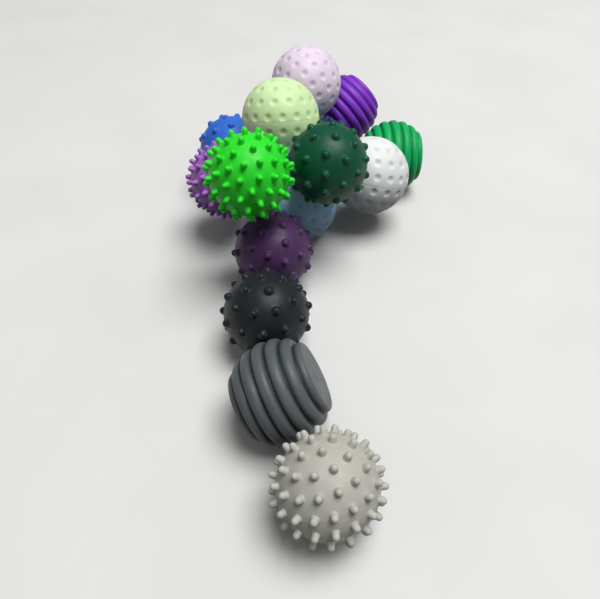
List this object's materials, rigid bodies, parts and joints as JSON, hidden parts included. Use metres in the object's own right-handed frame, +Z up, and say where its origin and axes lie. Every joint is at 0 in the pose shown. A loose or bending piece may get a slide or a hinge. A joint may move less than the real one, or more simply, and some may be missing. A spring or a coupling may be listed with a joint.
{
  "type": "magnetic fidget toy",
  "caption": "Clump of soft textured magnetic balls with a trailing tail; each ball rolls round the one it clings to, and its cover spins on a magnet core.",
  "frame": {"origin": "centre of the bounding box, on the surface that the balls lie on", "axes": "+Z up, +Y from the free end of the tail towards the clump, +X to the right seen from the tail"},
  "size_m": [0.115, 0.2562, 0.0729],
  "materials": {
    "sky_rubber": "satin soft-touch moulding",
    "plum_rubber": "satin soft-touch moulding",
    "charcoal_rubber": "satin soft-touch moulding",
    "slate_rubber": "satin soft-touch moulding",
    "grey_rubber": "satin soft-touch moulding",
    "forest_rubber": "satin soft-touch moulding",
    "green_rubber": "satin soft-touch moulding",
    "white_rubber": "satin soft-touch moulding",
    "emerald_rubber": "satin soft-touch moulding",
    "navy_rubber": "satin soft-touch moulding",
    "lime_rubber": "satin soft-touch moulding",
    "lavender_rubber": "satin soft-touch moulding",
    "violet_rubber": "satin soft-touch moulding",
    "lilac_rubber": "satin soft-touch moulding",
    "blue_rubber": "satin soft-touch moulding",
    "core_plastic": "plain moulded",
    "magnet_nickel": "nickel plated"
  },
  "bodies": {
    "sky_core": {"sky_dimpled_core": "core_plastic", "sky_dimpled_magnet": "magnet_nickel"},
    "sky_cover": {"sky_dimpled_cover_crown": "sky_rubber", "sky_dimpled_cover_base": "sky_rubber"},
    "plum_core": {"plum_studded_core": "core_plastic", "plum_studded_magnet": "magnet_nickel"},
    "plum_cover": {"plum_studded_cover_crown": "plum_rubber", "plum_studded_cover_base": "plum_rubber"},
    "charcoal_core": {"charcoal_studded_core": "core_plastic", "charcoal_studded_magnet": "magnet_nickel"},
    "charcoal_cover": {"charcoal_studded_cover_crown": "charcoal_rubber", "charcoal_studded_cover_base": "charcoal_rubber"},
    "slate_core": {"slate_ribbed_core": "core_plastic", "slate_ribbed_magnet": "magnet_nickel"},
    "slate_cover": {"slate_ribbed_cover_crown": "slate_rubber", "slate_ribbed_cover_base": "slate_rubber"},
    "grey_core": {"grey_spiky_core": "core_plastic", "grey_spiky_magnet": "magnet_nickel"},
    "grey_cover": {"grey_spiky_cover_crown": "grey_rubber", "grey_spiky_cover_base": "grey_rubber"},
    "forest_core": {"forest_studded_core": "core_plastic", "forest_studded_magnet": "magnet_nickel"},
    "forest_cover": {"forest_studded_cover_crown": "forest_rubber", "forest_studded_cover_base": "forest_rubber"},
    "green_core": {"green_spiky_core": "core_plastic", "green_spiky_magnet": "magnet_nickel"},
    "green_cover": {"green_spiky_cover_crown": "green_rubber", "green_spiky_cover_base": "green_rubber"},
    "white_core": {"white_dimpled_core": "core_plastic", "white_dimpled_magnet": "magnet_nickel"},
    "white_cover": {"white_dimpled_cover_crown": "white_rubber", "white_dimpled_cover_base": "white_rubber"},
    "emerald_core": {"emerald_ribbed_core": "core_plastic", "emerald_ribbed_magnet": "magnet_nickel"},
    "emerald_cover": {"emerald_ribbed_cover_crown": "emerald_rubber", "emerald_ribbed_cover_base": "emerald_rubber"},
    "navy_core": {"navy_studded_core": "core_plastic", "navy_studded_magnet": "magnet_nickel"},
    "navy_cover": {"navy_studded_cover_crown": "navy_rubber", "navy_studded_cover_base": "navy_rubber"},
    "lime_core": {"lime_dimpled_core": "core_plastic", "lime_dimpled_magnet": "magnet_nickel"},
    "lime_cover": {"lime_dimpled_cover_crown": "lime_rubber", "lime_dimpled_cover_base": "lime_rubber"},
    "lavender_core": {"lavender_dimpled_core": "core_plastic", "lavender_dimpled_magnet": "magnet_nickel"},
    "lavender_cover": {"lavender_dimpled_cover_crown": "lavender_rubber", "lavender_dimpled_cover_base": "lavender_rubber"},
    "violet_core": {"violet_ribbed_core": "core_plastic", "violet_ribbed_magnet": "magnet_nickel"},
    "violet_cover": {"violet_ribbed_cover_crown": "violet_rubber", "violet_ribbed_cover_base": "violet_rubber"},
    "lilac_core": {"lilac_spiky_core": "core_plastic", "lilac_spiky_magnet": "magnet_nickel"},
    "lilac_cover": {"lilac_spiky_cover_crown": "lilac_rubber", "lilac_spiky_cover_base": "lilac_rubber"},
    "blue_core": {"blue_studded_core": "core_plastic", "blue_studded_magnet": "magnet_nickel"},
    "blue_cover": {"blue_studded_cover_crown": "blue_rubber", "blue_studded_cover_base": "blue_rubber"}
  },
  "joints": [
    {"name": "sky_spin", "type": "hinge", "parent": "sky_core", "child": "sky_cover", "pos_m": [-0.00532, 0.02951, 0.01799], "axis": [0, 0, 1], "continuous": true},
    {"name": "plum_roll", "type": "hinge", "parent": "sky_core", "child": "plum_core", "pos_m": [-0.00532, 0.02951, 0.01799], "axis": [0, 0, 1], "range_deg": [-15, 30]},
    {"name": "plum_spin", "type": "hinge", "parent": "plum_core", "child": "plum_cover", "pos_m": [-0.01654, -0.00501, 0.01799], "axis": [0.309, 0.9511, 0], "continuous": true},
    {"name": "charcoal_roll", "type": "hinge", "parent": "plum_core", "child": "charcoal_core", "pos_m": [-0.01654, -0.00501, 0.01799], "axis": [0, 0, 1], "range_deg": [-30, 30]},
    {"name": "charcoal_spin", "type": "hinge", "parent": "charcoal_core", "child": "charcoal_cover", "pos_m": [-0.0178, -0.04129, 0.01799], "axis": [0.0349, 0.9994, 0], "continuous": true},
    {"name": "slate_roll", "type": "hinge", "parent": "charcoal_core", "child": "slate_core", "pos_m": [-0.0178, -0.04129, 0.01799], "axis": [0, 0, 1], "range_deg": [-30, 30]},
    {"name": "slate_spin", "type": "hinge", "parent": "slate_core", "child": "slate_cover", "pos_m": [-0.0115, -0.07703, 0.01799], "axis": [-0.1736, 0.9848, 0], "continuous": true},
    {"name": "grey_roll", "type": "hinge", "parent": "slate_core", "child": "grey_core", "pos_m": [-0.0115, -0.07703, 0.01799], "axis": [0, 0, 1], "range_deg": [-45, 45]},
    {"name": "grey_spin", "type": "hinge", "parent": "grey_core", "child": "grey_cover", "pos_m": [0.00327, -0.1102, 0.01799], "axis": [-0.4067, 0.9135, 0], "continuous": true},
    {"name": "forest_roll", "type": "hinge", "parent": "sky_core", "child": "forest_core", "pos_m": [-0.00532, 0.02951, 0.01799], "axis": [0, 0, 1], "range_deg": [-16, 10]},
    {"name": "forest_spin", "type": "hinge", "parent": "forest_core", "child": "forest_cover", "pos_m": [0.00653, 0.01436, 0.04877], "axis": [-0.3263, 0.4176, -0.848], "continuous": true},
    {"name": "green_roll", "type": "hinge", "parent": "forest_core", "child": "green_core", "pos_m": [0.00653, 0.01436, 0.04877], "axis": [0, 0, -1], "range_deg": [-45, 14]},
    {"name": "green_spin", "type": "hinge", "parent": "green_core", "child": "green_cover", "pos_m": [-0.02443, -0.00352, 0.05508], "axis": [0.8529, 0.4924, -0.1736], "continuous": true},
    {"name": "white_roll", "type": "hinge", "parent": "sky_core", "child": "white_core", "pos_m": [-0.00532, 0.02951, 0.01799], "axis": [0, 0, 1], "range_deg": [-10, 5]},
    {"name": "white_spin", "type": "hinge", "parent": "white_core", "child": "white_cover", "pos_m": [0.02854, 0.03922, 0.02677], "axis": [-0.9327, -0.2675, -0.2419], "continuous": true},
    {"name": "emerald_roll", "type": "hinge", "parent": "white_core", "child": "emerald_core", "pos_m": [0.02854, 0.03922, 0.02677], "axis": [0, 0, 1], "range_deg": [-60, 0]},
    {"name": "emerald_spin", "type": "hinge", "parent": "emerald_core", "child": "emerald_cover", "pos_m": [0.04342, 0.07115, 0.01799], "axis": [-0.4101, -0.8794, 0.2419], "continuous": true},
    {"name": "navy_roll", "type": "hinge", "parent": "white_core", "child": "navy_core", "pos_m": [0.02854, 0.03922, 0.02677], "axis": [0.8083, 0.5888, 0], "range_deg": [0, 16]},
    {"name": "navy_spin", "type": "hinge", "parent": "navy_core", "child": "navy_cover", "pos_m": [0.00736, 0.06837, 0.02235], "axis": [0.5834, -0.803, 0.1219], "continuous": true},
    {"name": "lime_roll", "type": "hinge", "parent": "navy_core", "child": "lime_core", "pos_m": [0.00736, 0.06837, 0.02235], "axis": [0.1895, -0.9177, -0.3491], "range_deg": [-40, 0]},
    {"name": "lime_spin", "type": "hinge", "parent": "lime_core", "child": "lime_cover", "pos_m": [-0.01392, 0.05402, 0.04802], "axis": [0.5862, 0.3954, -0.7071], "continuous": true},
    {"name": "lavender_roll", "type": "hinge", "parent": "navy_core", "child": "lavender_core", "pos_m": [0.00736, 0.06837, 0.02235], "axis": [0.6961, 0.6165, -0.3679], "range_deg": [-12, 25]},
    {"name": "lavender_spin", "type": "hinge", "parent": "lavender_core", "child": "lavender_cover", "pos_m": [-0.00172, 0.09332, 0.04711], "axis": [0.2501, -0.6872, -0.682], "continuous": true},
    {"name": "violet_roll", "type": "hinge", "parent": "lavender_core", "child": "violet_core", "pos_m": [-0.00172, 0.09332, 0.04711], "axis": [0, 0, 1], "range_deg": [-15, 60]},
    {"name": "violet_spin", "type": "hinge", "parent": "violet_core", "child": "violet_cover", "pos_m": [0.02142, 0.11013, 0.02476], "axis": [-0.6375, -0.4632, 0.6157], "continuous": true},
    {"name": "lilac_roll", "type": "hinge", "parent": "sky_core", "child": "lilac_core", "pos_m": [-0.00532, 0.02951, 0.01799], "axis": [0, 0, 1], "range_deg": [-5, 14]},
    {"name": "lilac_spin", "type": "hinge", "parent": "lilac_core", "child": "lilac_cover", "pos_m": [-0.03959, 0.03131, 0.02981], "axis": [0.9442, -0.0495, -0.3256], "continuous": true},
    {"name": "blue_roll", "type": "hinge", "parent": "lilac_core", "child": "blue_core", "pos_m": [-0.03959, 0.03131, 0.02981], "axis": [0, 0, 1], "range_deg": [-2, 60]},
    {"name": "blue_spin", "type": "hinge", "parent": "blue_core", "child": "blue_cover", "pos_m": [-0.03959, 0.06717, 0.02413], "axis": [0, -0.9877, 0.1564], "continuous": true}
  ]
}
